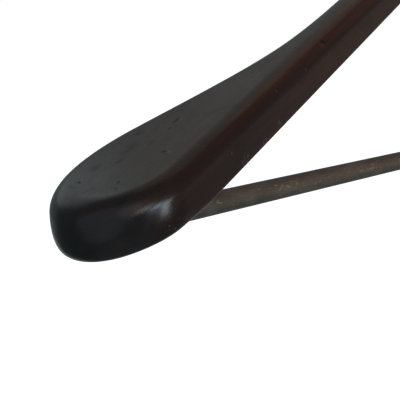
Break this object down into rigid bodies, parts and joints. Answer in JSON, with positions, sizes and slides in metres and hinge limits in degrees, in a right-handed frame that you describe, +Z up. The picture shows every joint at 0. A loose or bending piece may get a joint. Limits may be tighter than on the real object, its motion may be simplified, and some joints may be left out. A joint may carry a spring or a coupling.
{
  "type": "wooden suit hanger",
  "caption": "Dark-stained wooden suit hanger with wide rounded shoulders, a round trouser bar and a swivelling steel hook.",
  "frame": {"origin": "the point under the hook's crown where it sits on the wardrobe rail, on the axis the hook turns about", "axes": "+Z up along the hook's stem, +X along the wings towards the right wing, the front of the hanger faces -Y"},
  "size_m": [0.453, 0.0555, 0.2208],
  "materials": {
    "stained_wood": "dark brown stain under satin lacquer, worn at the lower edge",
    "bar_wood": "dark stained, matte, rubbed",
    "plain_wood": "bare wood",
    "bright_steel": "polished, light handling marks",
    "zinc_steel": "zinc plated"
  },
  "bodies": {
    "hook": {"hook": "bright_steel", "hook_nut": "zinc_steel"},
    "hanger": {"left_wing": "stained_wood", "right_wing": "stained_wood", "neck_dowel_front": "plain_wood", "neck_dowel_back": "plain_wood", "trouser_bar": "bar_wood", "bar_screw_left": "zinc_steel", "bar_screw_right": "zinc_steel", "hook_collar": "bright_steel", "neck_bush": "zinc_steel", "thrust_washer": "zinc_steel"}
  },
  "joints": [
    {"name": "hook_swivel", "type": "hinge", "parent": "hook", "child": "hanger", "pos_m": [0, 0, -0.095], "axis": [0, 0, 1], "continuous": true}
  ]
}
